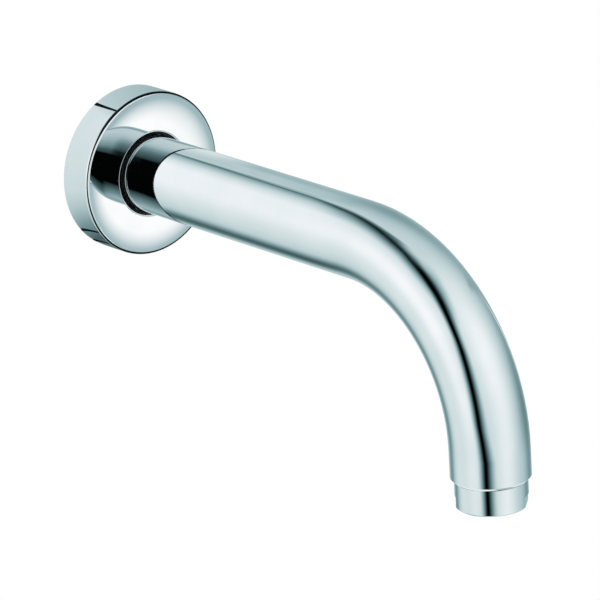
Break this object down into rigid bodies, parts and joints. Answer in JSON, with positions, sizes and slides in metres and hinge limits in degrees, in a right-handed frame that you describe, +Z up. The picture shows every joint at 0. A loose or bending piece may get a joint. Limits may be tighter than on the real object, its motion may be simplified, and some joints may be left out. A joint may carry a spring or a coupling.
{
  "type": "wall spout",
  "caption": "Chromed wall spout: a bent round tube with a sliding round rosette at the wall and a screwed-in aerator at its downturned outlet.",
  "frame": {"origin": "centre of the wall connection, on the tube's axis in the plane of the finished wall", "axes": "+Y into the wall along the connection thread, -Y the way the spout reaches out, +Z up, the water leaves along -Z"},
  "size_m": [0.0684, 0.249, 0.1272],
  "materials": {
    "chrome_plate": "polished chrome plating on brass",
    "bare_brass": "turned brass",
    "black_rubber": "moulded rubber",
    "stainless_steel": "plain stainless steel",
    "grey_plastic": "moulded acetal",
    "white_plastic": "moulded acetal"
  },
  "bodies": {
    "spout": {"spout_tube": "chrome_plate", "wall_nipple": "bare_brass", "nipple_o_ring_rear": "black_rubber", "nipple_o_ring_front": "black_rubber", "fixing_screw": "stainless_steel", "aerator_housing": "chrome_plate", "aerator_washer": "black_rubber", "aerator_insert": "grey_plastic", "aerator_jet_disc": "white_plastic", "aerator_strainer": "white_plastic"},
    "rosette": {"wall_rosette": "chrome_plate", "rosette_seal": "black_rubber"}
  },
  "joints": [
    {"name": "rosette_slide", "type": "slide", "parent": "spout", "child": "rosette", "axis": [0, -1, 0], "range_m": [0, 0.125]}
  ]
}
